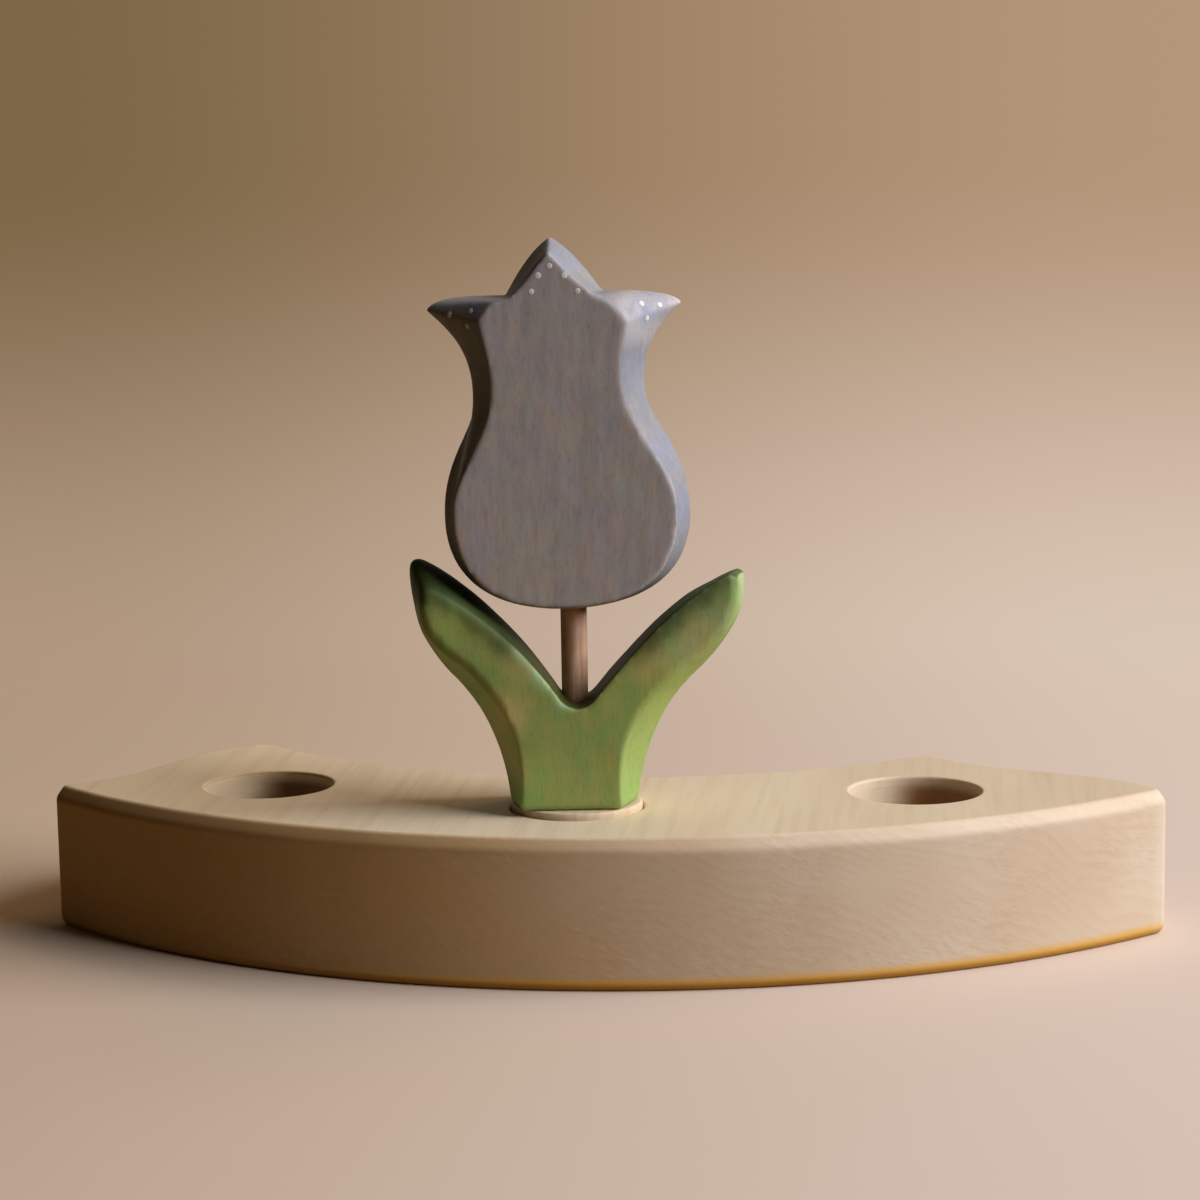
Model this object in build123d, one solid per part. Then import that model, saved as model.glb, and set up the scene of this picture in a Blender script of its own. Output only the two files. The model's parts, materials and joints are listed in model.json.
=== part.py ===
from build123d import *
import os
from collections import namedtuple
from math import cos, degrees, radians, sin

# A wooden tulip that plugs into one socket of a quarter-ring stand.
# Sizes are in millimetres and degrees. The middle socket's axis is the Z axis, the stand's underside is Z = 0,
# and the stand's round outside and the tulip's face look along -Y.

# Stand: a quarter of a flat ring, whose waved ends nest into the next quarter
ring_outer_radius = 110.0
ring_inner_radius = 70.0
ring_thickness = 20.0
segment_angle = 90.0
end_wave = 3.4
end_corner_shift = 2.4
end_bias = -0.5
outer_corner_round = 1.8
inner_corner_round = 4.0
edge_chamfer = 1.5

# Sockets: blind holes along the middle of the ring
socket_diameter = 18.0
socket_depth = 12.0
socket_spacing = 30.0
socket_mouth_chamfer = 0.4

# Peg: the turned plug under the tulip, which stands on the socket's floor
peg_clearance = 0.2
peg_proud = 0.85
peg_tip_chamfer = 1.0
peg_rim_chamfer = 0.3

# Stem: one dowel that joins peg, leaf and bloom
stem_diameter = 3.6
stem_fit = 0.05
stem_in_peg = 8.0
stem_in_bloom = 16.0
stem_show = 12.65
stem_end_chamfer = 0.4
stem_end_gap = 0.3

# Leaf: a V sawn from one board, bevelled towards its middle plane. Reaches are from the stem's axis
leaf_thickness = 14.0
leaf_edge = 2.0
leaf_foot_chamfer = 0.5
leaf_notch_height = 13.45
leaf_notch_radius = 3.0
leaf_notch_slope = 40.0
leaf_notch_offset = 0.25
leaf_elbow_reach = 16.45
leaf_elbow_height = 17.7
leaf_left_foot_reach = 8.7
leaf_left_reach = 22.05
leaf_left_height = 32.65
leaf_left_tip_width = 1.3
leaf_left_tip_drop = 1.45
leaf_right_foot_reach = 8.2
leaf_right_reach = 22.85
leaf_right_height = 30.85
leaf_right_tip_width = 0.4
leaf_right_tip_drop = 0.7

# Flat front of the leaf: how far the bevels come in from the sawn outline
leaf_notch_bevel = 0.4
leaf_elbow_slope = 40.0
leaf_left_foot_bevel = 1.35
leaf_left_elbow_bevel = 2.8
leaf_left_tip_bevel = 1.45
leaf_left_tip_fall = 3.85
leaf_right_foot_bevel = 2.1
leaf_right_elbow_bevel = 2.3
leaf_right_tip_bevel = 0.5
leaf_right_tip_fall = 0.8

# Bloom: a tulip sawn from one board, bevelled towards its middle plane
bloom_thickness = 14.0
bloom_edge = 2.0
bloom_height = 48.85
bloom_bulb_width = 32.4
bloom_bulb_height = 12.45
bloom_neck_width = 22.0
bloom_neck_height = 29.55
bloom_petal_span = 33.4
bloom_left_petal_height = 40.4
bloom_right_petal_height = 39.4
bloom_petal_point = 0.4
bloom_notch_span = 12.7
bloom_notch_height = 41.5
bloom_lean = 2.7

# Flat front of the bloom: how far the bevels come in from the sawn outline
bulb_bevel = 1.45
neck_bevel = 2.6
base_bevel = 0.9
apex_bevel = 2.6
notch_bevel = 0.9
petal_bevel = 7.3
petal_drop = 1.85
petal_shoulder_bevel = 9.4
petal_shoulder_rise = 0.85

# How far leaf and bloom are turned about the stem, towards the viewer
leaf_turn = 7.0
bloom_turn = 4.5

# Bends: how each curve of an outline leaves its first point and meets its last one,
# as shares of the way across and of the way up between the two
bloom_outline_bends = {
    "base": ((0.66, 0), (0, 0.63)),
    "swell": ((0, 0.53), (0, 0.32)),
    "flare": ((0, 0.52), (0.37, 0.2)),
    "point": ((0.33, 0.33), (0.33, 0.33)),
    "left_petal": ((0.15, 1.8), (0.35, -0.7)),
    "right_petal": ((0.15, 0.65), (0.5, 0.1)),
    "crown": ((0.24, 0.32), (0.44, 0.22)),
}
bloom_face_bends = {
    "base": ((0.67, 0), (0, 0.67)),
    "swell": ((0, 0.33), (0, 0.44)),
    "flare": ((0, 0.4), (0.3, 0.3)),
    "point": ((0.25, 0.4), (0.4, 0.3)),
    "left_petal": ((0.33, 0.33), (0.33, 0.33)),
    "right_petal": ((0.33, 0.33), (0.33, 0.33)),
    "crown": ((0.33, 0.33), (0.33, 0.33)),
}
leaf_outline_bends = {
    "waist": ((0.1, 0.43), (0.57, 0.24)),
    "blade": ((0.47, 0.22), (0, 0.43)),
    "tip": ((0, 0.8), (0.8, 0)),
    "inside": ((0.37, 0.18), (0.26, 0.4)),
}
leaf_face_bends = {
    "waist": ((-0.15, 0.5), (0.76, 0.28)),
    "blade": ((0.47, 0.22), (0, 0.43)),
    "tip": ((0, 0.8), (0.8, 0)),
    "inside": ((0.34, 0.18), (0.26, 0.4)),
}

ring_middle_radius = (ring_outer_radius + ring_inner_radius) / 2
ring_width = ring_outer_radius - ring_inner_radius
peg_radius = socket_diameter / 2 - peg_clearance
peg_floor_z = ring_thickness - socket_depth
leaf_floor_z = ring_thickness + peg_proud
bloom_floor_z = leaf_floor_z + leaf_notch_height + stem_show
stem_foot_z = leaf_floor_z - stem_in_peg
stem_top_z = bloom_floor_z + stem_in_bloom
stem_bore_radius = stem_diameter / 2 + stem_fit

LEFT = -1
RIGHT = 1
STANDING = (Align.CENTER, Align.CENTER, Align.MIN)
HANGING = (Align.CENTER, Align.CENTER, Align.MAX)


def ring_point(radius, angle):
    """Plan point at a radius from the ring's centre, at an angle from the front, positive to the right."""
    turn = radians(angle)
    return (radius * sin(turn), ring_middle_radius - radius * cos(turn))


def ring_end(angle):
    """Plan points of a waved end, from the outside in: out to one side, then out to the other."""
    quarter = ring_width / 4
    stations = [
        (ring_outer_radius, end_corner_shift),
        (ring_middle_radius + quarter, end_wave),
        (ring_middle_radius, 0.0),
        (ring_middle_radius - quarter, -end_wave),
        (ring_inner_radius, -end_corner_shift),
    ]
    return [ring_point(radius, angle + degrees((shift + end_bias) / radius)) for radius, shift in stations]


def socket_cutter():
    """A blind hole with a small chamfer at its mouth, hanging down from Z = 0."""
    radius = socket_diameter / 2
    hole = Cylinder(radius, socket_depth, align=HANGING)
    mouth = Cone(radius, radius + socket_mouth_chamfer, socket_mouth_chamfer, align=HANGING)
    return hole + mouth


def make_ring_segment():
    left = ring_end(-segment_angle / 2)
    right = ring_end(segment_angle / 2)
    outline = Curve() + [
        ThreePointArc(left[0], ring_point(ring_outer_radius, 0), right[0]),
        Spline(*right),
        ThreePointArc(right[-1], ring_point(ring_inner_radius, 0), left[-1]),
        Spline(*left),
    ]
    board = extrude(make_face(outline), ring_thickness)
    corners = board.edges().filter_by(Axis.Z).sort_by(Axis.Y)
    board = fillet(corners[:2], outer_corner_round)
    corners = board.edges().filter_by(Axis.Z).sort_by(Axis.Y)
    board = fillet(corners[-2:], inner_corner_round)
    rims = board.edges().group_by(Axis.Z)
    board = chamfer(rims[0] + rims[-1], edge_chamfer)
    for place in (LEFT, 0, RIGHT):
        x, y = ring_point(ring_middle_radius, place * socket_spacing)
        board -= Pos(x, y, ring_thickness) * socket_cutter()
    return board


def stem_bore(floor_z, roof_z):
    """The drilled hole that holds the stem, between two heights."""
    return Pos(0, 0, floor_z) * Cylinder(stem_bore_radius, roof_z - floor_z, align=STANDING)


def make_peg():
    plug = Pos(0, 0, peg_floor_z) * Cylinder(peg_radius, leaf_floor_z - peg_floor_z, align=STANDING)
    plug = chamfer(plug.edges().filter_by(GeomType.CIRCLE).sort_by(Axis.Z)[0], peg_tip_chamfer)
    plug = chamfer(plug.edges().filter_by(GeomType.CIRCLE).sort_by(Axis.Z)[-1], peg_rim_chamfer)
    return plug - stem_bore(stem_foot_z - stem_end_gap, leaf_floor_z)


def make_stem():
    dowel = Pos(0, 0, stem_foot_z) * Cylinder(stem_diameter / 2, stem_top_z - stem_foot_z, align=STANDING)
    return chamfer(dowel.edges().filter_by(GeomType.CIRCLE), stem_end_chamfer)


def bend(side, start, end, shares):
    """A smooth curve between two points of the right-hand half of an outline, or its mirror image on the left."""
    leave, arrive = shares
    across = end[0] - start[0]
    rise = end[1] - start[1]
    handles = [
        start,
        (start[0] + leave[0] * across, start[1] + leave[1] * rise),
        (end[0] - arrive[0] * across, end[1] - arrive[1] * rise),
        end,
    ]
    return Bezier(*[(side * x, z) for x, z in handles])


def bevelled_board(face, outline, thickness, edge):
    """A board whose flat faces are smaller than its outline, with bevels down to a narrow edge all round."""
    sections = [
        Plane.XZ.offset(thickness / 2) * face,
        Plane.XZ.offset(edge / 2) * outline,
        Plane.XZ.offset(-edge / 2) * outline,
        Plane.XZ.offset(-thickness / 2) * face,
    ]
    return loft(sections, ruled=True)


def bloom_half(side, base, bulb, neck, petal, shoulder, notch, apex, bends):
    """Edges of one half of the bloom, from the bottom up to the top petal's point."""
    petal_bends = bends["left_petal"] if side == LEFT else bends["right_petal"]
    return [
        bend(side, base, bulb, bends["base"]),
        bend(side, bulb, neck, bends["swell"]),
        bend(side, neck, petal, bends["flare"]),
        bend(side, petal, shoulder, bends["point"]),
        bend(side, shoulder, notch, petal_bends),
        bend(side, notch, apex, bends["crown"]),
    ]


def bloom_outline():
    """The sawn outline of the bloom."""
    edges = []
    for side, petal_height in ((RIGHT, bloom_right_petal_height), (LEFT, bloom_left_petal_height)):
        edges += bloom_half(
            side,
            base=(0, 0),
            bulb=(bloom_bulb_width / 2, bloom_bulb_height),
            neck=(bloom_neck_width / 2, bloom_neck_height),
            petal=(bloom_petal_span / 2, petal_height),
            shoulder=(bloom_petal_span / 2 - bloom_petal_point, petal_height + bloom_petal_point),
            notch=(bloom_notch_span / 2, bloom_notch_height),
            apex=(0, bloom_height),
            bends=bloom_outline_bends,
        )
    return make_face(Curve() + edges)


def bloom_face():
    """The flat front, inside the sawn outline by the bevels' widths. The side petals lean back from it."""
    edges = []
    for side, petal_height in ((RIGHT, bloom_right_petal_height), (LEFT, bloom_left_petal_height)):
        edges += bloom_half(
            side,
            base=(0, base_bevel),
            bulb=(bloom_bulb_width / 2 - bulb_bevel, bloom_bulb_height + base_bevel),
            neck=(bloom_neck_width / 2 - neck_bevel, bloom_neck_height + base_bevel),
            petal=(bloom_petal_span / 2 - petal_bevel, petal_height - petal_drop),
            shoulder=(bloom_petal_span / 2 - petal_shoulder_bevel, petal_height + petal_shoulder_rise),
            notch=(bloom_notch_span / 2 - notch_bevel, bloom_notch_height),
            apex=(0, bloom_height - apex_bevel),
            bends=bloom_face_bends,
        )
    return make_face(Curve() + edges)


def make_bloom():
    block = bevelled_board(bloom_face(), bloom_outline(), bloom_thickness, bloom_edge)
    block = Pos(0, 0, bloom_floor_z) * Rot(0, -bloom_lean, 0) * block
    return block - stem_bore(leaf_floor_z, stem_top_z + stem_end_gap)


Blade = namedtuple("Blade", "side foot elbow outside inside notch")


def leaf_blade(side, foot_reach, reach, height, tip_width, tip_drop, elbow_bevel, notch_bevel):
    """Corner points of one blade of the leaf, with its elbow and notch moved in by their bevels."""
    lean = radians(leaf_elbow_slope)
    rise = radians(leaf_notch_slope)
    radius = leaf_notch_radius + notch_bevel
    notch_floor = leaf_notch_height - notch_bevel
    return Blade(
        side,
        foot=(foot_reach, 0),
        elbow=(leaf_elbow_reach - elbow_bevel * cos(lean), leaf_elbow_height + elbow_bevel * sin(lean)),
        outside=(reach, height - tip_drop),
        inside=(reach - tip_width, height),
        notch=(side * leaf_notch_offset + radius * cos(rise), notch_floor + radius * (1 - sin(rise))),
    )


def leaf_half(blade, bends):
    """Edges of one blade, from the foot's corner out to the tip and back in to the notch."""
    return [
        bend(blade.side, blade.foot, blade.elbow, bends["waist"]),
        bend(blade.side, blade.elbow, blade.outside, bends["blade"]),
        bend(blade.side, blade.outside, blade.inside, bends["tip"]),
        bend(blade.side, blade.inside, blade.notch, bends["inside"]),
    ]


def leaf_shape(left, right, notch_bevel, bends):
    """The V of both blades, closed by the notch and the foot."""
    edges = leaf_half(right, bends) + leaf_half(left, bends)
    notch_floor = (leaf_notch_offset, leaf_notch_height - notch_bevel)
    edges.append(ThreePointArc(right.notch, notch_floor, (-left.notch[0], left.notch[1])))
    edges.append(Line((-left.foot[0], 0), right.foot))
    return make_face(Curve() + edges)


def leaf_outline():
    """The sawn outline of the leaf."""
    left = leaf_blade(
        LEFT, leaf_left_foot_reach, leaf_left_reach, leaf_left_height,
        leaf_left_tip_width, leaf_left_tip_drop, 0, 0,
    )
    right = leaf_blade(
        RIGHT, leaf_right_foot_reach, leaf_right_reach, leaf_right_height,
        leaf_right_tip_width, leaf_right_tip_drop, 0, 0,
    )
    return leaf_shape(left, right, 0, leaf_outline_bends)


def leaf_face():
    """The flat front, inside the sawn outline by the bevels' widths."""
    left = leaf_blade(
        LEFT, leaf_left_foot_reach - leaf_left_foot_bevel,
        leaf_left_reach - leaf_left_tip_bevel, leaf_left_height - leaf_left_tip_fall,
        leaf_left_tip_width, leaf_left_tip_drop, leaf_left_elbow_bevel, leaf_notch_bevel,
    )
    right = leaf_blade(
        RIGHT, leaf_right_foot_reach - leaf_right_foot_bevel,
        leaf_right_reach - leaf_right_tip_bevel, leaf_right_height - leaf_right_tip_fall,
        leaf_right_tip_width, leaf_right_tip_drop, leaf_right_elbow_bevel, leaf_notch_bevel,
    )
    return leaf_shape(left, right, leaf_notch_bevel, leaf_face_bends)


def make_leaf():
    block = bevelled_board(leaf_face(), leaf_outline(), leaf_thickness, leaf_edge)
    foot = block.faces().sort_by(Axis.Z)[0]
    block = chamfer(foot.edges(), leaf_foot_chamfer)
    return Pos(0, 0, leaf_floor_z) * block - stem_bore(leaf_floor_z, bloom_floor_z)


parts = {
    "ring_segment": make_ring_segment(),
    "peg": make_peg(),
    "stem": make_stem(),
    "leaf_pair": Rot(0, 0, leaf_turn) * make_leaf(),
    "bloom": Rot(0, 0, bloom_turn) * make_bloom(),
}

os.makedirs("parts", exist_ok=True)
for name, shape in parts.items():
    export_step(shape, f"parts/{name}.step")
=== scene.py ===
import json
from math import cos, pi, radians, sin

import bmesh
import bpy
import numpy as np
from mathutils import Matrix, Vector
from mathutils.geometry import delaunay_2d_cdt
from mathutils.kdtree import KDTree


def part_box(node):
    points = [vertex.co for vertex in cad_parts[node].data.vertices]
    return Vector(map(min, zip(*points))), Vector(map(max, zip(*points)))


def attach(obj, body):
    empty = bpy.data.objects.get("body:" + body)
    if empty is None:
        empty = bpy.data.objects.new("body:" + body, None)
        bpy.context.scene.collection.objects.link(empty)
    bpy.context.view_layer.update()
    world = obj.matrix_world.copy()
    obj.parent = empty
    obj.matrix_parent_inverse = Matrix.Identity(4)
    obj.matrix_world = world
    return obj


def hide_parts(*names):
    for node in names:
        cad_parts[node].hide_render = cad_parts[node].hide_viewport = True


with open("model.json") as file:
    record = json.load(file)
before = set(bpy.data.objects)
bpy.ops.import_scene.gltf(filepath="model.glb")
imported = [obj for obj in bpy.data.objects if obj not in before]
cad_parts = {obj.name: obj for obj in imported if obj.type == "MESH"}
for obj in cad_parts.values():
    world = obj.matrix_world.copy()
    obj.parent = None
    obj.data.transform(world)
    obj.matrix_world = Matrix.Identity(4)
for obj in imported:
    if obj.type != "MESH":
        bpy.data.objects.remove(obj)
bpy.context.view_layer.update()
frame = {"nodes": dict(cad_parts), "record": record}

MM = 0.001

# Camera: the photograph's viewing angle and distance, for a frame of 1200 by 1200
CAMERA_PLACE = Vector((47.45, -372.59, 102.98)) * MM
CAMERA_AZIMUTH = radians(6.72)
CAMERA_ELEVATION = radians(8.35)
CAMERA_ROLL = radians(-0.93)
CAMERA_LENS = 85.83
CAMERA_SENSOR = 36.0

# Light: a wide softbox at the right, a small warm lamp at the right rear, and a weak warm room
LIGHT_TARGET = Vector((0, 0, 40)) * MM
SOFTBOX = {"azimuth": 82, "elevation": 31, "distance": 1.6, "width": 1.25, "height": 0.75, "power": 33.5}
WARM_LAMP = {"azimuth": 128, "elevation": 52, "distance": 0.7, "width": 0.4, "height": 0.4, "power": 0.9}
ROOM_FRONT_STRENGTH = 0.024
ROOM_BACK_STRENGTH = 0.34
FLOOR_RADIUS = 4.0
FLOOR_FADE = (0.09, 0.3)

# Stand: how finely it is meshed, how far its edges are rubbed round, and how uneven the hand work is
STAND_STEP = 0.4 * MM
STAND_GRID = 2.2 * MM
STAND_BEVEL_LEAN = 0.72
STAND_EDGE_SHARE = 1.05
STAND_EDGE_WAVER = 0.05
STAND_UPPER_RUB = 0.45 * MM
STAND_LOWER_RUB = 0.55 * MM
STAND_FOOT_BEVEL = 0.9 * MM
STAND_FOOT_RUBS = (0.35 * MM, 0.4 * MM)
STAND_RUB_MARGIN = 0.03 * MM
STAND_UNEVENNESS = 0.012 * MM
WALL_WAVES = [(29, 0.4), (41, 2.1), (17, 5.0)]
EDGE_WAVES = [(7, 1.0), (13, 3.0), (23, 0.2)]
SOCKET_RIM = 0.42 * MM
SOCKET_SEGMENTS = 112
SOCKET_PLAY = 0.05 * MM
DRILL_DIMPLE = (0.9 * MM, 0.7 * MM)
SUPPORT = 0.35 * MM

# Stand paint: where the painted shade in the sockets starts, how pale their lit walls stay, and where the
# ends take a painted highlight
SOCKET_DARK_START = 0.3 * MM
DRILLED_FROM = 2 * MM
LIT_WALL_SHARE = 0.85
END_HIGHLIGHT = (2.2 * MM, 0.8 * MM)

# Peg and stem, turned on a lathe
TURNED_SEGMENTS = 112
STEM_SEGMENTS = 64
PEG_TIP = 1.0 * MM
PEG_RUBS = (0.2 * MM, 0.2 * MM, 0.36 * MM, 0.02 * MM, 0.02 * MM)
PEG_BORE_PLAY = 0.05 * MM
STEM_END_RUB = 0.3 * MM
STEM_STEP = 1.2 * MM
STEM_OVAL = 0.012
STEM_WAVES = [(0.6, 2, 0.12, 0.0), (0.4, 3, -0.21, 1.0)]
STEM_PLAY = 0.02 * MM

# Sawn boards: how finely they are meshed, how far their arrises are rubbed round, and how uneven they are
BOARD_GRID = 0.25 * MM
BOARD_RUBBING = 6
BOARD_UNEVENNESS = 0.06 * MM
BOARD_UNEVENNESS_SIZE = 7.0 * MM
BOARD_FLATNESS = (0.8, 0.97)
TIP_RUBBING = 0.3
TIP_REACH = (0.6 * MM, 3 * MM)

# Leaf: how far the front's edges stand above the back's, over which heights, and how far that reaches
LEFT_LIFT = (0.7 * MM, 0.5 * MM)
LEFT_LIFT_HEIGHTS = (34 * MM, 42 * MM)
RIGHT_LIFT = (0.6 * MM, 1.3 * MM)
RIGHT_LIFT_HEIGHTS = (36 * MM, 54 * MM)
LIFT_REACH = 6 * MM
LIFT_BLEND = 4 * MM
BLADE_FOOT = 40 * MM
TIP_DROP = 1.1 * MM

# Leaf: where its right tip, the left blade's inner edge and the outer arrises are rubbed further
TIP_ROUNDS = 14
TIP_RUB_REACH = (0.8 * MM, 3 * MM)
ROLLED_ROUNDS = 40
ROLLED_FROM = (3 * MM, 9 * MM)
ROLLED_REACH = (1.0 * MM, 3.2 * MM)
OUTER_SPREAD = 10
OUTER_HEIGHTS = (28 * MM, 40 * MM)

# Leaf paint: over which distances from a tip or an inner edge, or which heights, each mark fades
RIGHT_TIP_FADE = (2 * MM, 9 * MM)
LEFT_TIP_FADE = (3 * MM, 12 * MM)
BLADE_HEIGHTS = (36 * MM, 43 * MM)
SHORE_FADE = (0.0 * MM, 3.6 * MM)
DUSK_FADE = (1.2 * MM, 4.4 * MM)
MINT_FADE = (0.4 * MM, 2.0 * MM)

# Bloom: how far the front of its crown is raised, how far that reaches, and where the painted light on its
# right petal starts
CROWN_LIFT = 0.75 * MM
CROWN_REACH = 4.5 * MM
CROWN_HALF_WIDTH = 8 * MM
CROWN_DEPTH = 4 * MM
PETAL_HEIGHTS = (80 * MM, 85 * MM)
PETAL_FROM = (5 * MM, 9 * MM)
BLOOM_ARRIS_SPREAD = 2

# Paint dots: places on the bloom's face, across from the stem's axis and up from the table, in millimetres
DOT_DIAMETER = 0.74 * MM
DOT_HEIGHT = 0.035 * MM
DOT_VARIATION = 0.14
DOT_SEED = 5
DOT_START = 30 * MM
CROWN_DOTS = [(-4.4, 88.95), (-3.5, 91.0), (-2.0, 92.2), (-0.15, 90.95), (1.55, 88.95)]
LEFT_PETAL_DOTS = [(-12.4, 86.55), (-15.25, 86.0), (-12.85, 84.6)]
RIGHT_PETAL_DOTS = [(9.7, 87.15), (12.0, 86.9), (10.4, 85.25)]

# Leaf dabs of several colours: across from the stem's axis, up from the table, reach and strength
LIME_DABS = [(-14.5, 46.0, 5.0, 0.8), (14.5, 39.5, 5.0, 1.0), (11.0, 36.0, 4.0, 0.7), (-4.0, 25.0, 5.0, 0.4)]
UMBER_DABS = [(16.5, 43.5, 4.0, 0.7), (9.5, 40.5, 4.5, 0.6), (-7.0, 40.5, 4.0, 0.7), (-9.5, 33.0, 5.0, 0.8)]
UMBER_DABS += [(-10.0, 27.0, 5.0, 0.8)]
SAGE_DABS = [(18.5, 46.5, 5.0, 0.45), (14.5, 42.0, 5.0, 0.4)]
# Mint dabs place a painted highlight on the left blade's inner arris near the notch
MINT_DABS = [(-1.6, 35.6, 2.8, 0.8), (-4.2, 38.5, 3.2, 1.0), (-6.8, 41.2, 2.8, 0.5)]

# Bloom dabs of blue, given in the same way
BLUE_DABS = [(-0.1, 93.0, 2.8, 1.0), (10.4, 86.6, 3.6, 1.0), (9.4, 78.0, 4.2, 0.5), (12.6, 67.5, 4.5, 0.8)]
BLUE_DABS += [(14.8, 60.5, 4.5, 0.7), (-11.5, 86.3, 2.6, 0.8)]


def tint(red, green, blue):
    """A colour as a paint chart gives it, from 0 to 255, turned to the shader's linear values."""
    shares = [value / 255 for value in (red, green, blue)]
    return tuple(((v + 0.055) / 1.055) ** 2.4 if v > 0.04 else v / 12.92 for v in shares) + (1.0,)


# Nodes

class Nodes:
    """Adds nodes to one tree. A value that is a socket is linked, and any other is set on the socket."""

    def __init__(self, tree):
        self.tree = tree

    def add(self, kind, inputs=None, **settings):
        made = self.tree.nodes.new(kind)
        for name, value in settings.items():
            setattr(made, name, value)
        for socket, value in (inputs or {}).items():
            self.feed(made.inputs[socket], value)
        return made

    def feed(self, socket, value):
        if isinstance(value, bpy.types.NodeSocket):
            self.tree.links.new(value, socket)
        else:
            socket.default_value = value

    def math(self, operation, first, second=0.0):
        return self.add("ShaderNodeMath", {0: first, 1: second}, operation=operation).outputs[0]

    def times(self, first, second):
        return self.math("MULTIPLY", first, second)

    def sloped(self, value, factor, start):
        """The value times the factor, with the start added."""
        return self.math("ADD", self.times(value, factor), start)

    def without(self, value):
        """What is left of 1 without the value."""
        return self.math("SUBTRACT", 1.0, value)

    def rise(self, value, low, high):
        """A soft step: 0 at low, 1 at high."""
        inputs = {"Value": value, "From Min": low, "From Max": high}
        return self.add("ShaderNodeMapRange", inputs, interpolation_type="SMOOTHSTEP").outputs[0]

    def place_mm(self):
        """Where a point lies on the piece, in millimetres."""
        place = self.add("ShaderNodeTexCoord").outputs["Object"]
        return self.scaled(place, (1 / MM,) * 3)

    def parts(self, place):
        """A place's three coordinates."""
        return self.add("ShaderNodeSeparateXYZ", {0: place}).outputs

    def joined(self, x, y, z):
        return self.add("ShaderNodeCombineXYZ", {0: x, 1: y, 2: z}).outputs[0]

    def scaled(self, place, factors):
        return self.add("ShaderNodeVectorMath", {0: place, 1: factors}, operation="MULTIPLY").outputs[0]

    def turned(self, place, fibre, across):
        """Places turned so that the fibre runs along Z and the growth rings follow each other along X."""
        fibre = Vector(fibre).normalized()
        across = Vector(across).normalized()
        turn = Matrix((across, fibre.cross(across), fibre)).to_euler()
        return self.add("ShaderNodeMapping", {"Vector": place, "Rotation": turn}).outputs[0]

    def noise(self, place, scale=1.0, detail=2.0, roughness=0.5):
        inputs = {"Vector": place, "Scale": scale, "Detail": detail, "Roughness": roughness}
        return self.add("ShaderNodeTexNoise", inputs).outputs[0]

    def patches(self, place, factors, low, high, detail=2.0):
        """Soft patches of a stretched noise, from 0 to 1."""
        return self.rise(self.noise(self.scaled(place, factors), detail=detail), low, high)

    def attribute(self, name):
        return self.add("ShaderNodeAttribute", attribute_name=name).outputs["Fac"]

    def mix(self, share, first, second):
        return self.add("ShaderNodeMix", {0: share, 6: first, 7: second}, data_type="RGBA").outputs[2]

    def layered(self, colour, *layers):
        """The colour with pigments laid over it in turn. Each layer has a mask, a share and its pigment."""
        for mask, share, pigment in layers:
            colour = self.mix(self.times(mask, share), colour, pigment)
        return colour

    def group(self, tree, place, values):
        """A node group at that place, with its other inputs' values by name."""
        return self.add("ShaderNodeGroup", {"Vector": place, **values}, node_tree=tree).outputs

    def rubbed(self, place):
        """Where the arris mask takes a painted highlight."""
        return self.group(EDGE_HIGHLIGHTS, place, {"Edge": self.attribute("arris")})["Rubbed"]


def new_group(name, inputs, outputs):
    """A node group with one Vector input and named float sockets. Gives its nodes and both ends' sockets."""
    tree = bpy.data.node_groups.new(name, "ShaderNodeTree")
    tree.interface.new_socket("Vector", in_out="INPUT", socket_type="NodeSocketVector")
    for socket, value in inputs.items():
        made = tree.interface.new_socket(socket, in_out="INPUT", socket_type="NodeSocketFloat")
        made.default_value = value
    for socket in outputs:
        tree.interface.new_socket(socket, in_out="OUTPUT", socket_type="NodeSocketFloat")
    nodes = Nodes(tree)
    return nodes, nodes.add("NodeGroupInput").outputs, nodes.add("NodeGroupOutput").inputs


def make_sawn_grain():
    """Growth rings, fibres and ray flecks of a board, with the fibre along Z. Sizes are in millimetres."""
    sizes = {"Ring Width": 1.4, "Ring Wander": 6.0, "Fibre Width": 0.4}
    sizes |= {"Fibre Length": 8.0, "Fleck Length": 2.2}
    nodes, inputs, outputs = new_group("sawn_grain", sizes, ("Rings", "Fibres", "Flecks", "Height"))
    place = inputs["Vector"]
    slow = nodes.noise(nodes.scaled(place, (0.05, 0.05, 0.012)))
    wander = nodes.times(nodes.math("SUBTRACT", slow, 0.5), inputs["Ring Wander"])
    depth = nodes.math("DIVIDE", nodes.math("ADD", nodes.parts(place)[0], wander), inputs["Ring Width"])
    phase = nodes.math("FRACT", depth)
    late_wood = nodes.times(nodes.rise(phase, 0.15, 0.85), nodes.rise(phase, 1.0, 0.86))
    strong = nodes.patches(place, (0.16, 0.16, 0.03), 0.3, 0.7, detail=1.0)
    rings = nodes.times(late_wood, nodes.sloped(strong, 0.7, 0.3))
    thin = nodes.math("DIVIDE", 1.0, inputs["Fibre Width"])
    long = nodes.math("DIVIDE", 1.0, inputs["Fibre Length"])
    short = nodes.math("DIVIDE", 1.0, inputs["Fleck Length"])
    fibres = nodes.noise(nodes.scaled(place, nodes.joined(thin, thin, long)), detail=3.0, roughness=0.6)
    flecks = nodes.noise(nodes.scaled(place, nodes.joined(thin, short, long)), roughness=0.55)
    nodes.feed(outputs["Rings"], rings)
    nodes.feed(outputs["Fibres"], fibres)
    nodes.feed(outputs["Flecks"], flecks)
    nodes.feed(outputs["Height"], nodes.sloped(fibres, 0.9, nodes.times(rings, 0.1)))
    return nodes.tree


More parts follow.
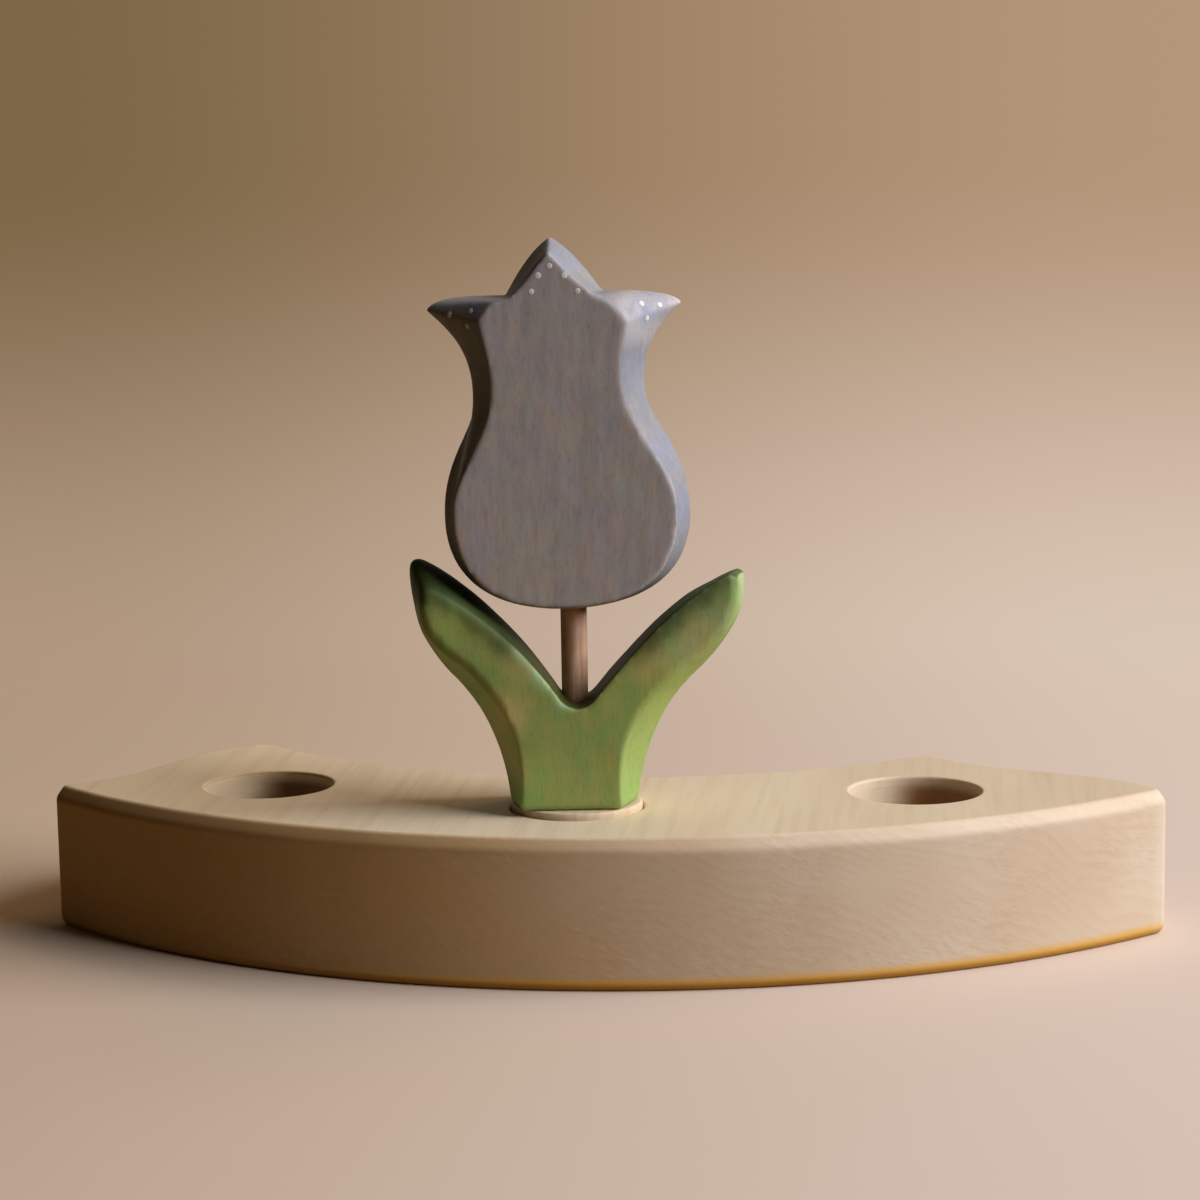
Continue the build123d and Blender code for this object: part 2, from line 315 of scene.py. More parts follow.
def make_water_stain():
    """Watery stain: its pools, its brush strokes along Z and its blotches. Sizes are in millimetres."""
    sizes = {"Pool Size": 9.0, "Stroke Width": 1.1, "Stroke Length": 14.0}
    nodes, inputs, outputs = new_group("water_stain", sizes, ("Pools", "Strokes", "Blotches"))
    place = inputs["Vector"]
    pool = nodes.math("DIVIDE", 1.0, inputs["Pool Size"])
    pools = nodes.noise(place, scale=pool, detail=2.5, roughness=0.55)
    thin = nodes.math("DIVIDE", 1.0, inputs["Stroke Width"])
    long = nodes.math("DIVIDE", 1.0, inputs["Stroke Length"])
    strokes = nodes.noise(nodes.scaled(place, nodes.joined(thin, thin, long)), roughness=0.55)
    blotches = nodes.noise(nodes.scaled(place, (0.4, 0.4, 0.28)), detail=3.0, roughness=0.6)
    nodes.feed(outputs["Pools"], nodes.rise(pools, 0.32, 0.68))
    nodes.feed(outputs["Strokes"], nodes.rise(strokes, 0.3, 0.7))
    nodes.feed(outputs["Blotches"], nodes.rise(blotches, 0.3, 0.7))
    return nodes.tree


def make_edge_highlights():
    """A painted highlight along an arris: the edge mask broken up, so that the highlight is uneven."""
    nodes, inputs, outputs = new_group("rubbed_edges", {"Edge": 0.0}, ("Rubbed",))
    broken = nodes.noise(inputs["Vector"], scale=0.35, detail=3.0, roughness=0.6)
    nodes.feed(outputs["Rubbed"], nodes.times(inputs["Edge"], nodes.sloped(broken, 1.1, -0.05)))
    return nodes.tree


SAWN_GRAIN = make_sawn_grain()
WATER_STAIN = make_water_stain()
EDGE_HIGHLIGHTS = make_edge_highlights()


def new_finish(name, specular):
    """A material with one Principled shader. Gives the material, its nodes and the shader's sockets."""
    material = bpy.data.materials.new(name)
    material.use_nodes = True
    material.node_tree.nodes.clear()
    nodes = Nodes(material.node_tree)
    shader = nodes.add("ShaderNodeBsdfPrincipled", {"Specular IOR Level": specular})
    nodes.add("ShaderNodeOutputMaterial", {"Surface": shader.outputs[0]})
    return material, nodes, shader.inputs


def dress(nodes, shader, colour, roughness, height, depth, strength):
    """Gives the shader its colour, its roughness and a bump of that depth in metres."""
    nodes.feed(shader["Base Color"], colour)
    nodes.feed(shader["Roughness"], roughness)
    bump = nodes.add("ShaderNodeBump", {"Height": height, "Distance": depth, "Strength": strength})
    nodes.feed(shader["Normal"], bump.outputs[0])


def make_pale_wood():
    """The stand's wood: fibre from front to back, so that the front is end grain with slanting rings."""
    material, nodes, shader = new_finish("pale_wood", 0.3)
    place = nodes.place_mm()
    aside, _, height = nodes.parts(place)
    board = nodes.turned(place, fibre=(0, 1, 0), across=(0.42, 0, 0.91))
    sizes = {"Ring Width": 1.5, "Ring Wander": 14.0, "Fibre Width": 0.36}
    sizes |= {"Fibre Length": 12.0, "Fleck Length": 1.5}
    grain = nodes.group(SAWN_GRAIN, board, sizes)
    end_grain = nodes.attribute("end_grain")
    drilled = nodes.attribute("drilled")
    cloud = nodes.patches(place, (0.05, 0.02, 0.05), 0.3, 0.7)
    long_grain = nodes.mix(cloud, tint(236, 221, 197), tint(229, 211, 186))
    # Painted shade: the top turns warmer towards the left, as it looks in the soft shade there
    long_grain = nodes.layered(long_grain, (nodes.rise(aside, 20.0, -50.0), 0.7, tint(246, 222, 186)))
    cut_grain = nodes.mix(cloud, tint(238, 219, 198), tint(231, 206, 181))
    # Painted shade: the end-grain front turns darker and warmer towards the left, where it faces away from
    # the light
    cut_grain = nodes.layered(cut_grain, (nodes.rise(aside, 34.0, -26.0), 0.9, tint(216, 178, 124)))
    streaks = nodes.noise(nodes.scaled(place, (0.55, 0.02, 0.3)), detail=3.0, roughness=0.6)
    streak_share = nodes.times(nodes.rise(streaks, 0.42, 0.72), 0.35)
    plain = nodes.patches(place, (0.06, 0.05, 0.1), 0.42, 0.66)
    figure = nodes.times(end_grain, nodes.sloped(plain, 0.22, 0.05))
    # Painted shade in the sockets: darker in the left socket, where the bloom's shadow falls, and darker
    # deeper down
    soot = nodes.mix(nodes.rise(aside, 25.0, -25.0), tint(140, 86, 32), tint(98, 58, 20))
    deep = nodes.sloped(nodes.rise(height, 19.6, 17.8), 0.8, 0.1)
    # Painted shade on the upper bevel, strongest at the left, where that bevel faces away from the light
    left_edge_shade = nodes.times(nodes.rise(aside, 40.0, -40.0), 0.75)
    # Painted reflection: a golden band along the bottom edge for the floor's warm bounced light, fading
    # towards the left, where the floor lies in shadow
    floor_bounce_reach = nodes.sloped(nodes.rise(aside, -45.0, 5.0), 0.75, 0.15)
    floor_bounce = nodes.times(nodes.rise(height, 2.3, 1.0), floor_bounce_reach)
    colour = nodes.layered(
        nodes.mix(end_grain, long_grain, cut_grain),
        (nodes.without(end_grain), streak_share, tint(210, 187, 155)),
        (grain["Rings"], nodes.sloped(end_grain, 0.08, 0.06), tint(198, 164, 130)),
        (nodes.rise(grain["Flecks"], 0.46, 0.72), figure, tint(202, 168, 134)),
        (nodes.rise(grain["Flecks"], 0.46, 0.26), figure, tint(245, 230, 210)),
        # Painted shade inside the sockets
        (nodes.attribute("soot"), deep, soot),
        (nodes.attribute("handled"), left_edge_shade, tint(182, 140, 90)),
        (nodes.without(drilled), floor_bounce, tint(246, 190, 86)),
        # Painted highlight on the stand's rounded end corners
        (nodes.rubbed(place), 0.5, tint(246, 236, 222)),
    )
    tool = nodes.noise(nodes.scaled(place, (0.12, 0.12, 3.2)))
    cut = nodes.sloped(drilled, nodes.times(tool, 2.0), grain["Height"])
    dress(nodes, shader, colour, nodes.sloped(grain["Fibres"], 0.16, 0.44), cut, 0.05 * MM, 0.3)
    return material


def make_peg_wood():
    """The peg: the same pale wood, fibre upright, with fine turning marks round it."""
    material, nodes, shader = new_finish("peg_wood", 0.3)
    place = nodes.place_mm()
    sizes = {"Ring Width": 1.6, "Ring Wander": 5.0, "Fibre Width": 0.3, "Fibre Length": 6.0}
    grain = nodes.group(SAWN_GRAIN, place, sizes)
    colour = nodes.layered(
        tint(222, 202, 174),
        (grain["Rings"], 0.3, tint(196, 164, 126)),
        (nodes.rise(grain["Fibres"], 0.5, 0.8), 0.35, tint(204, 172, 136)),
    )
    turning = nodes.math("SINE", nodes.times(nodes.parts(place)[2], 14.0))
    marks = nodes.sloped(turning, 0.25, grain["Height"])
    dress(nodes, shader, colour, nodes.sloped(grain["Fibres"], 0.16, 0.45), marks, 0.05 * MM, 0.3)
    return material


def make_stem_wood():
    """The stem: a dowel stained soft brown, darker in its fibres."""
    material, nodes, shader = new_finish("stem_wood", 0.3)
    place = nodes.place_mm()
    sizes = {"Ring Width": 0.9, "Ring Wander": 3.0, "Fibre Width": 0.3, "Fibre Length": 7.0}
    grain = nodes.group(SAWN_GRAIN, place, sizes)
    stain = nodes.group(WATER_STAIN, place, {"Pool Size": 4.0, "Stroke Width": 0.6, "Stroke Length": 9.0})
    colour = nodes.layered(
        nodes.mix(stain["Pools"], tint(244, 204, 176), tint(224, 178, 146)),
        (stain["Strokes"], 0.5, tint(188, 138, 108)),
        (nodes.rise(grain["Fibres"], 0.48, 0.75), 0.4, tint(132, 88, 62)),
    )
    rough = nodes.sloped(grain["Fibres"], 0.2, 0.45)
    dress(nodes, shader, colour, rough, grain["Height"], 0.08 * MM, 0.4)
    return material


def make_mauve_stain():
    """The bloom: grey-mauve stain along the grain, lavender on the bevels and slate blue on the petals."""
    material, nodes, shader = new_finish("mauve_stain", 0.3)
    place = nodes.place_mm()
    board = nodes.turned(place, fibre=(0.05, 0, 1), across=(0.8, 0.6, 0))
    sizes = {"Ring Width": 2.2, "Ring Wander": 9.0, "Fibre Width": 0.5, "Fibre Length": 1.5}
    grain = nodes.group(SAWN_GRAIN, board, sizes)
    stain = nodes.group(WATER_STAIN, place, {"Pool Size": 5.5, "Stroke Width": 1.1, "Stroke Length": 4.5})
    cool = nodes.mix(stain["Blotches"], tint(138, 144, 158), tint(156, 154, 160))
    drawn = nodes.sloped(stain["Strokes"], 0.5, 0.15)
    colour = nodes.layered(
        nodes.mix(stain["Pools"], tint(190, 184, 194), tint(188, 190, 184)),
        (stain["Blotches"], 0.7, tint(206, 184, 172)),
        (stain["Strokes"], 0.5, tint(168, 162, 172)),
        (nodes.attribute("bevel"), 0.9, cool),
        # Painted light on the right petal's bevels, which face partly away from the light
        (nodes.attribute("petal"), 0.6, tint(230, 224, 230)),
        (nodes.attribute("blue"), drawn, tint(140, 156, 194)),
        (nodes.rise(grain["Fibres"], 0.5, 0.75), 0.3, tint(134, 124, 126)),
        (nodes.rise(grain["Fibres"], 0.48, 0.28), 0.22, tint(200, 192, 190)),
        (grain["Rings"], 0.12, tint(140, 126, 120)),
        # Painted highlight on the arrises that face the light at the right
        (nodes.rubbed(place), 0.9, tint(216, 210, 208)),
    )
    rough = nodes.sloped(grain["Fibres"], 0.2, 0.45)
    dress(nodes, shader, colour, rough, grain["Height"], 0.07 * MM, 0.35)
    return material


def make_green_stain():
    """The leaf: watery greens that run into each other, dark blue-green along the inner edges, partly stain
    and partly painted shade.
    """
    material, nodes, shader = new_finish("green_stain", 0.18)
    place = nodes.place_mm()
    board = nodes.turned(place, fibre=(0, 0, 1), across=(0.9, 0.4, 0))
    sizes = {"Ring Width": 1.8, "Ring Wander": 7.0, "Fibre Width": 0.4, "Fibre Length": 1.6}
    grain = nodes.group(SAWN_GRAIN, board, sizes)
    stain = nodes.group(WATER_STAIN, place, {"Pool Size": 5.0, "Stroke Width": 1.0, "Stroke Length": 4.0})
    blotched = nodes.sloped(stain["Blotches"], 0.5, 0.4)
    uneven = nodes.times(nodes.math("SUBTRACT", stain["Blotches"], 0.5), 0.25)
    shore = nodes.rise(nodes.math("ADD", nodes.attribute("shore"), uneven), 0.0, 1.0)
    deep = nodes.mix(stain["Pools"], tint(38, 66, 40), tint(46, 64, 30))
    wall = nodes.mix(nodes.rise(nodes.parts(place)[2], 38.0, 50.0), tint(60, 56, 30), tint(64, 82, 46))
    dusk = nodes.rise(nodes.sloped(uneven, 0.4, nodes.attribute("dusk")), 0.1, 0.9)
    colour = nodes.layered(
        nodes.mix(stain["Pools"], tint(144, 180, 104), tint(172, 182, 104)),
        (stain["Blotches"], 0.5, tint(176, 164, 104)),
        (stain["Strokes"], 0.4, tint(124, 166, 90)),
        (nodes.attribute("lime"), 0.6, tint(190, 200, 106)),
        (nodes.attribute("umber"), blotched, tint(226, 202, 136)),
        (nodes.attribute("outer_bevel"), 0.4, tint(150, 180, 98)),
        # Pale sage: partly paint patches, partly a painted highlight at the right tip
        (nodes.attribute("sage"), 0.8, tint(192, 208, 160)),
        # Dark green along the inner edges: partly stain, partly the bloom's shadow painted over the rolled
        # arris
        (shore, 0.72, deep),
        # The inner walls: darker stain, partly painted shade for the bloom's shadow on them
        (nodes.attribute("inner_edge"), 0.9, wall),
        # Near-black at the left tip: partly dark stain, partly the bloom's shadow painted on
        (dusk, 0.92, tint(52, 62, 28)),
        # Painted highlight on the left blade's inner arris near the notch
        (nodes.attribute("mint"), 0.85, tint(178, 212, 166)),
        (nodes.rise(grain["Fibres"], 0.5, 0.75), 0.25, tint(104, 120, 58)),
        # Painted highlight, a light green line along the arrises
        (nodes.rubbed(place), 0.2, tint(180, 206, 150)),
    )
    rough = nodes.sloped(grain["Fibres"], 0.2, 0.45)
    dress(nodes, shader, colour, rough, grain["Height"], 0.07 * MM, 0.35)
    return material


def make_white_paint():
    """The dots: chalky white paint, a little thinner in places."""
    material, nodes, shader = new_finish("white_paint", 0.4)
    thin = nodes.rise(nodes.noise(nodes.place_mm(), scale=2.2), 0.35, 0.7)
    nodes.feed(shader["Base Color"], nodes.mix(thin, tint(252, 250, 248), tint(236, 234, 236)))
    nodes.feed(shader["Roughness"], nodes.sloped(thin, 0.15, 0.4))
    return material


# Shells built ring by ring

class Shell:
    """Gathers the points and faces of one piece."""

    def __init__(self):
        self.points = []
        self.faces = []

    def ring(self, points):
        """Adds points and gives their numbers."""
        start = len(self.points)
        self.points.extend(tuple(map(float, point)) for point in points)
        return list(range(start, len(self.points)))

    def skin(self, rings):
        """Joins closed rings of as many points, each to the next."""
        for first, second in zip(rings, rings[1:]):
            for here in range(len(first)):
                there = (here + 1) % len(first)
                self.faces.append((first[here], first[there], second[there], second[here]))

    def cap(self, ring, middle):
        """Closes a ring at a point in its middle."""
        centre = self.ring([middle])[0]
        for here in range(len(ring)):
            self.faces.append((ring[here], ring[(here + 1) % len(ring)], centre))

    def fill(self, outer, holes, spacing):
        """Fills a flat face between an outer ring and the rings of its holes with an even mesh."""
        plan = np.array(self.points)[:, :2]
        rims = [plan[ring] for ring in [outer] + holes]
        low, high = rims[0].min(0), rims[0].max(0)
        rows = np.meshgrid(np.arange(low[0], high[0], spacing), np.arange(low[1], high[1], spacing))
        grid = np.stack(rows, -1).reshape(-1, 2)
        free = inside(grid, rims[0])
        for rim in rims[1:]:
            free &= ~inside(grid, rim)
        for rim in rims:
            free &= np.linalg.norm(grid[:, None] - rim[None], axis=2).min(1) > 0.6 * spacing
        height = self.points[outer[0]][2]
        numbers = sum([outer] + holes, []) + self.ring((x, y, height) for x, y in grid[free])
        corners = [Vector(self.points[number][:2]) for number in numbers]
        edges = []
        start = 0
        for rim in rims:
            count = len(rim)
            edges += [(start + here, start + (here + 1) % count) for here in range(count)]
            start += count
        made = delaunay_2d_cdt(corners, edges, [], 1, 1e-9)
        faces = np.array([[made[3][corner][0] for corner in face] for face in made[2]])
        middles = np.array([corner[:] for corner in corners])[faces].mean(1)
        kept = np.ones(len(faces), bool)
        for rim in rims[1:]:
            kept &= ~inside(middles, rim)
        self.faces.extend(tuple(numbers[corner] for corner in face) for face in faces[kept])

    def piece(self, name):
        """The finished object, smooth, with its faces outwards."""
        mesh = bpy.data.meshes.new(name)
        mesh.from_pydata(self.points, [], self.faces)
        knit = bmesh.new()
        knit.from_mesh(mesh)
        bmesh.ops.recalc_face_normals(knit, faces=knit.faces)
        knit.to_mesh(mesh)
        knit.free()
        return smooth_object(mesh)


def inside(places, ring):
    """Which places lie inside a closed ring, seen from above."""
    x, y = places[:, 0, None], places[:, 1, None]
    x0, y0 = ring.T
    x1, y1 = np.roll(ring, -1, 0).T
    crossed = (y0 > y) != (y1 > y)
    level = np.where(y1 == y0, 1, y1 - y0)
    return (crossed & (x < x0 + (y - y0) * (x1 - x0) / level)).sum(1) % 2 == 1


def new_object(name, data):
    """An object with that data, placed in the scene."""
    made = bpy.data.objects.new(name, data)
    bpy.context.scene.collection.objects.link(made)
    return made


def smooth_object(mesh):
    mesh.polygons.foreach_set("use_smooth", [True] * len(mesh.polygons))
    return new_object(mesh.name, mesh)


def soft_profile(corners, rubs, steps=4):
    """A profile whose inner corners are rubbed round by the given reach, each with supports beside it."""
    corners = [np.array(corner, float) for corner in corners]
    made = [corners[0]]
    for number, rub in enumerate(rubs, 1):
        corner = corners[number]
        legs = [corners[number - 1] - corner, corners[number + 1] - corner]
        lengths = [np.linalg.norm(leg, axis=0) for leg in legs]
        ways = [leg / length for leg, length in zip(legs, lengths)]
        roomy = [np.min(length) > 2.5 * (rub + SUPPORT) for length in lengths]
        if roomy[0]:
            made.append(corner + ways[0] * (rub + SUPPORT))
        for share in np.linspace(0, 1, steps + 1):
            made.append(corner + rub * ((1 - share) ** 2 * ways[0] + share ** 2 * ways[1]))
        if roomy[1]:
            made.append(corner + ways[1] * (rub + SUPPORT))
    return made + [corners[-1]]


def smooth_loop(points, step):
    """Points at an even step along a smooth closed curve through the given ones."""
    ahead = np.roll(points, -1, 0) - points
    length = np.linalg.norm(ahead, axis=1)[:, None]
    slope = ahead / length
    before = np.roll(length, 1, 0)
    bend = (np.roll(slope, 1, 0) * length + slope * before) / (length + before)
    fine = []
    for share in np.linspace(0, 1, 24, endpoint=False):
        rise = share * share * (3 - 2 * share)
        leave = share * (1 - share) ** 2
        arrive = share * share * (share - 1)
        fine.append(points + ahead * rise + length * (bend * leave + np.roll(bend, -1, 0) * arrive))
    fine = np.stack(fine, 1).reshape(-1, 2)
    closed = np.vstack((fine, fine[:1]))
    run = np.append(0, np.cumsum(np.linalg.norm(np.diff(closed, axis=0), axis=1)))
    marks = np.linspace(0, run[-1], round(run[-1] / step), endpoint=False)
    return np.column_stack([np.interp(marks, run, closed[:, axis]) for axis in range(2)])


def waver(count, turns):
    """A slow, even wavering along a closed ring, from about -1 to 1."""
    along = np.arange(count) / count * 2 * pi
    return sum(np.sin(turn * along + phase) for turn, phase in turns) / len(turns)


def circle(radius, height, segments, middle=(0, 0)):
    angle = np.arange(segments) / segments * 2 * pi
    x = middle[0] + radius * np.cos(angle)
    y = middle[1] + radius * np.sin(angle)
    return np.column_stack((x, y, np.full(segments, height)))


def turned_shell(profile, segments):
    """A shape turned on a lathe, from (radius, height) pairs whose ends lie on the axis."""
    shell = Shell()
    rings = [shell.ring(circle(radius, height, segments)) for radius, height in profile[1:-1]]
    shell.skin(rings)
    shell.cap(rings[0], (0, 0, profile[0][1]))
    shell.cap(rings[-1], (0, 0, profile[-1][1]))
    return shell


# Meshes carried over from the CAD model

def merged_mesh(node):
    """The CAD node's mesh with its loose triangles joined at their corners, as a bmesh."""
    source = frame["nodes"][node].data
    mesh = bpy.data.meshes.new(node)
    mesh.from_pydata([v.co for v in source.vertices], [], [p.vertices[:] for p in source.polygons])
    knit = bmesh.new()
    knit.from_mesh(mesh)
    bpy.data.meshes.remove(mesh)
    bmesh.ops.remove_doubles(knit, verts=knit.verts, dist=0.001 * MM)
    return knit


def wall_outline(node):
    """The outline of the node's upright wall, turning left, and the height of the bevelled edge under it."""
    knit = merged_mesh(node)
    heights = np.array([vertex.co.z for vertex in knit.verts])
    bottom, top = heights.min(), heights.max()
    low_part = heights[(heights > bottom + 0.1 * MM) & (heights < bottom + 0.3 * (top - bottom))]
    steps, counts = np.unique((low_part / (0.01 * MM)).round(), return_counts=True)
    level = steps[counts.argmax()] * 0.01 * MM
    wall = {vertex for vertex in knit.verts if abs(vertex.co.z - level) < 0.01 * MM}
    loop = [min(wall, key=lambda vertex: (vertex.co.x, vertex.co.y))]
    wall.discard(loop[0])
    while True:
        beside = [edge.other_vert(loop[-1]) for edge in loop[-1].link_edges]
        further = [vertex for vertex in beside if vertex in wall]
        if not further:
            break
        loop.append(further[0])
        wall.discard(further[0])
    outline = np.array([vertex.co[:2] for vertex in loop])
    knit.free()
    x, y = outline.T
    if np.sum(x * np.roll(y, -1) - y * np.roll(x, -1)) < 0:
        outline = outline[::-1]
    return outline, level - bottom


def settle(piece):
    """Makes the result of the piece's modifiers its plain mesh."""
    evaluated = piece.evaluated_get(bpy.context.evaluated_depsgraph_get())
    mesh = bpy.data.meshes.new_from_object(evaluated)
    mesh.name = piece.name
    piece.modifiers.clear()
    piece.data = mesh


def points_of(piece):
    places = np.empty(len(piece.data.vertices) * 3, np.float32)
    piece.data.vertices.foreach_get("co", places)
    return places.reshape(-1, 3)


def place_points(piece, places):
    piece.data.vertices.foreach_set("co", places.astype(np.float32).ravel())
    piece.data.update()


def normals_of(piece):
    normals = np.empty(len(piece.data.vertices) * 3, np.float32)
    piece.data.vertex_normals.foreach_get("vector", normals)
    return normals.reshape(-1, 3)


def soft_step(values, low, high):
    share = np.clip((values - low) / (high - low), 0, 1)
    return share * share * (3 - 2 * share)


def paint_masks(piece, **masks):
    """Stores shares from 0 to 1 for each vertex, which the piece's material reads by their names."""
    for name, values in masks.items():
        mask = piece.data.attributes.new(name, "FLOAT", "POINT")
        mask.data.foreach_set("value", np.asarray(values, np.float32))


def neighbour_mean(piece, places):
    """The mean of each vertex's neighbours, column by column."""
    edges = np.empty(len(piece.data.edges) * 2, np.int32)
    piece.data.edges.foreach_get("vertices", edges)
    first, second = edges.reshape(-1, 2).T
    here = np.concatenate((first, second))
    there = np.concatenate((second, first))
    count = np.bincount(here, minlength=len(places))
    sums = [np.bincount(here, places[there, axis], len(places)) for axis in range(places.shape[1])]
    return np.column_stack(sums) / count[:, None]


def rub(piece, rounds, strength):
    """Rubs the surface round, by each vertex's strength from 0 to 1."""
    places = points_of(piece).astype(float)
    for _ in range(rounds):
        places += (neighbour_mean(piece, places) - places) * 0.5 * strength[:, None]
    place_points(piece, places)


def spread(piece, values, rounds):
    """Lets a share run over to the vertices around it, so that a line becomes a soft band."""
    band = values[:, None]
    for _ in range(rounds):
        band = np.maximum(band, neighbour_mean(piece, band))
    return band[:, 0]


def arris_of(piece):
    """How strongly the surface bends outwards at each vertex, from 0 on flats to 1 on a rubbed arris."""
    places = points_of(piece)
    sunk = np.einsum("ij,ij->i", places - neighbour_mean(piece, places), normals_of(piece))
    return soft_step(sunk / BOARD_GRID, 0.03, 0.12)


def facing(piece):
    """The direction in which the board's flat front looks, and the direction to its right."""
    normals = normals_of(piece)
    ahead = Vector(normals[normals[:, 1] < -0.98].mean(0))
    ahead.z = 0
    ahead.normalize()
    return np.array(ahead), np.array((-ahead.y, ahead.x, 0))


def even_board(node, name):
    """A sawn board with the CAD node's shape, meshed evenly all over."""
    knit = merged_mesh(node)
    mesh = bpy.data.meshes.new(name)
    knit.to_mesh(mesh)
    knit.free()
    piece = smooth_object(mesh)
    even = piece.modifiers.new("even mesh", "REMESH")
    even.mode = "VOXEL"
    even.voxel_size = BOARD_GRID
    even.use_smooth_shade = True
    settle(piece)
    return piece


def hand_work(piece):
    """Leaves the board a little uneven, as handwork is."""
    uneven = bpy.data.textures.new("hand unevenness", "CLOUDS")
    uneven.noise_scale = BOARD_UNEVENNESS_SIZE
    hand = piece.modifiers.new("hand work", "DISPLACE")
    hand.texture = uneven
    hand.texture_coords = "LOCAL"
    hand.strength = 2 * BOARD_UNEVENNESS
    settle(piece)


def rub_board(piece, tips):
    """Rubs a board's arrises round, least near its tips."""
    places = points_of(piece)
    near = np.min([np.linalg.norm(places - tip, axis=1) for tip in tips], axis=0)
    rub(piece, BOARD_RUBBING, TIP_RUBBING + (1 - TIP_RUBBING) * soft_step(near, *TIP_REACH))


def finish_piece(piece, node, material, body):
    piece.data.materials.clear()
    piece.data.materials.append(material)
    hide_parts(node)
    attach(piece, body)


# Pieces

def drill(shell, middle, radius, top, floor):
    """A drilled socket with a rubbed rim and the drill's dimple. Gives the ring of its mouth."""
    dimple_radius, dimple_depth = DRILL_DIMPLE
    corners = [(radius + 2 * SOCKET_RIM, top), (radius, top), (radius, floor), (dimple_radius, floor)]
    profile = soft_profile(corners, (SOCKET_RIM, SOCKET_RIM), steps=5)
    profile.append((0.8 * dimple_radius, floor - 0.2 * dimple_depth))
    rings = [shell.ring(circle(r, z, SOCKET_SEGMENTS, middle)) for r, z in profile]
    shell.skin(rings)
    shell.cap(rings[-1], (middle[0], middle[1], floor - dimple_depth))
    return rings[0]


def make_stand():
    outline, edge = wall_outline("ring_segment")
    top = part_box("ring_segment")[1].z
    loop = smooth_loop(outline, STAND_STEP)
    count = len(loop)
    along = np.roll(loop, -1, 0) - np.roll(loop, 1, 0)
    along /= np.linalg.norm(along, axis=1)[:, None]
    inward = np.column_stack((-along[:, 1], along[:, 0]))
    loop += inward * STAND_UNEVENNESS * waver(count, WALL_WAVES)[:, None]
    bevel = edge * (STAND_EDGE_SHARE + STAND_EDGE_WAVER * waver(count, EDGE_WAVES))
    none = np.zeros(count)
    foot = none + STAND_FOOT_BEVEL
    inset = STAND_BEVEL_LEAN * bevel
    toe = STAND_BEVEL_LEAN * foot
    corners = [(toe + STAND_FOOT_RUBS[0] + STAND_RUB_MARGIN, none), (toe, none), (none, foot)]
    corners += [(none, top - bevel), (inset, none + top)]
    corners += [(inset + STAND_UPPER_RUB + STAND_RUB_MARGIN, none + top)]
    rubs = STAND_FOOT_RUBS + (STAND_LOWER_RUB, STAND_UPPER_RUB)
    shell = Shell()
    rings = []
    for into, height in soft_profile(corners, rubs):
        rings.append(shell.ring(np.column_stack((loop + inward * into[:, None], height))))
    shell.skin(rings)
    shell.fill(rings[0], [], STAND_GRID)
    sockets = [mount for mount in frame["record"]["mounts"] if mount["kind"] == "bore"]
    radius = sockets[0]["dims"]["r_mm"] * MM
    floor = sockets[0]["pos_m"][2] - sockets[0]["dims"]["length_mm"] / 2 * MM
    middles = [(0.0, 0.0)] + [tuple(socket["pos_m"][:2]) for socket in sockets]
    mouths = [drill(shell, middle, radius, top, floor) for middle in middles]
    shell.fill(rings[-1], mouths, STAND_GRID)
    piece = shell.piece("stand_ring_segment")
    places = points_of(piece)
    up = places[:, 2]
    drilled = np.zeros(len(places))
    for middle in middles:
        off = np.hypot(places[:, 0] - middle[0], places[:, 1] - middle[1])
        in_socket = (off < radius + SOCKET_PLAY) & (up < top - SOCKET_DARK_START) & (up > DRILLED_FROM)
        drilled = np.maximum(drilled, in_socket)
    normals = normals_of(piece)
    upper = soft_step(up, top - 1.6 * edge, top - 1.1 * edge) * soft_step(top - up, 0.0, 0.3 * edge)
    reach = np.abs(places[:, 0])
    paint_masks(
        piece,
        drilled=drilled,
        # Painted shade inside the sockets, kept pale on walls that face the light
        soot=drilled * (1 - LIT_WALL_SHARE * soft_step(normals[:, 0], -0.1, 0.5)),
        end_grain=np.abs(normals[:, 1]) ** 0.5 * (1 - drilled),
        # Painted shade along the upper bevel, outside the sockets
        handled=upper * (1 - drilled),
        # Painted highlight on the rounded end corners
        arris=soft_step(reach, reach.max() - END_HIGHLIGHT[0], reach.max() - END_HIGHLIGHT[1]),
    )
    finish_piece(piece, "ring_segment", make_pale_wood(), "stand")


def make_peg():
    low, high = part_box("peg")
    stem_low, stem_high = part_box("stem")
    radius = (high.x - low.x) / 2
    bore = (stem_high.x - stem_low.x) / 2 + PEG_BORE_PLAY
    corners = [(0, low.z), (radius - PEG_TIP, low.z), (radius, low.z + PEG_TIP), (radius, high.z)]
    corners += [(bore, high.z), (bore, stem_low.z), (0, stem_low.z)]
    piece = turned_shell(soft_profile(corners, PEG_RUBS), TURNED_SEGMENTS).piece("turned_peg")
    finish_piece(piece, "peg", make_peg_wood(), "peg_and_stem")


